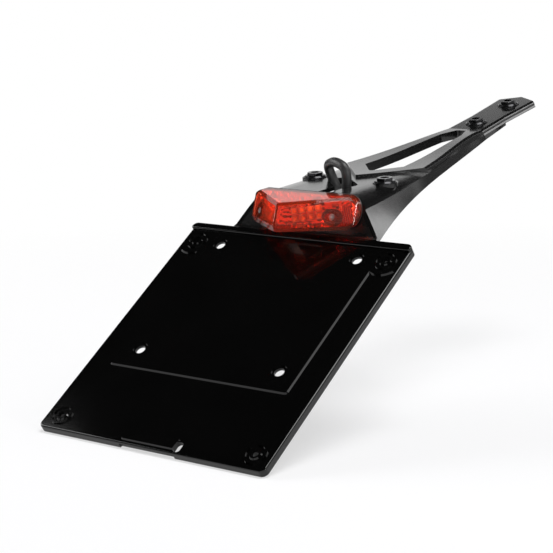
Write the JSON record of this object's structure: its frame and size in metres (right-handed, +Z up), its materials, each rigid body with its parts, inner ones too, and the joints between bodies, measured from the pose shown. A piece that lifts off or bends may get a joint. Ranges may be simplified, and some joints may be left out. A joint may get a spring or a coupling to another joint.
{
  "type": "motorcycle rear plate holder with tail light",
  "caption": "Tapered plastic tail arm with a slotted spine, a pointed red tail light at its mouth and a sloping rear plate carrier.",
  "frame": {"origin": "midway between the two tongue holes, on the tongue's top face", "axes": "+X to the right seen from behind, +Y forward to the tongue's tip, +Z up, square to the tongue's top face"},
  "size_m": [0.187, 0.5133, 0.121],
  "materials": {
    "tail_arm": "satin black, fine grain",
    "plate_carrier": "high gloss black",
    "plate_grommets": "matte",
    "lamp_housing": "satin black",
    "lamp_gasket": "matte",
    "lamp_lens": "clear red",
    "plate_light_window": "clear",
    "lamp_reflector": "bright metallised",
    "lamp_circuit_boards": "white solder mask",
    "lamp_leds": "clear dome",
    "lamp_lens_screws": "plated",
    "lamp_fixing_screws": "blackened",
    "lamp_lead": "matte black sleeve",
    "lead_grommet": "matte",
    "lead_plug": "satin",
    "front_mount_nuts": "blackened steel",
    "rear_mount_nuts": "blackened steel",
    "carrier_screws": "blackened",
    "carrier_washers": "plated",
    "carrier_inserts": "knurled brass"
  },
  "bodies": {
    "root": {"tail_arm": "tail_arm", "plate_carrier": "plate_carrier", "plate_grommets": "plate_grommets", "lamp_housing": "lamp_housing", "lamp_gasket": "lamp_gasket", "lamp_lens": "lamp_lens", "plate_light_window": "plate_light_window", "lamp_reflector": "lamp_reflector", "lamp_circuit_boards": "lamp_circuit_boards", "lamp_leds": "lamp_leds", "lamp_lens_screws": "lamp_lens_screws", "lamp_fixing_screws": "lamp_fixing_screws", "lamp_lead": "lamp_lead", "lead_grommet": "lead_grommet", "lead_plug": "lead_plug", "front_mount_nuts": "front_mount_nuts", "rear_mount_nuts": "rear_mount_nuts", "carrier_screws": "carrier_screws", "carrier_washers": "carrier_washers", "carrier_inserts": "carrier_inserts"}
  },
  "joints": []
}
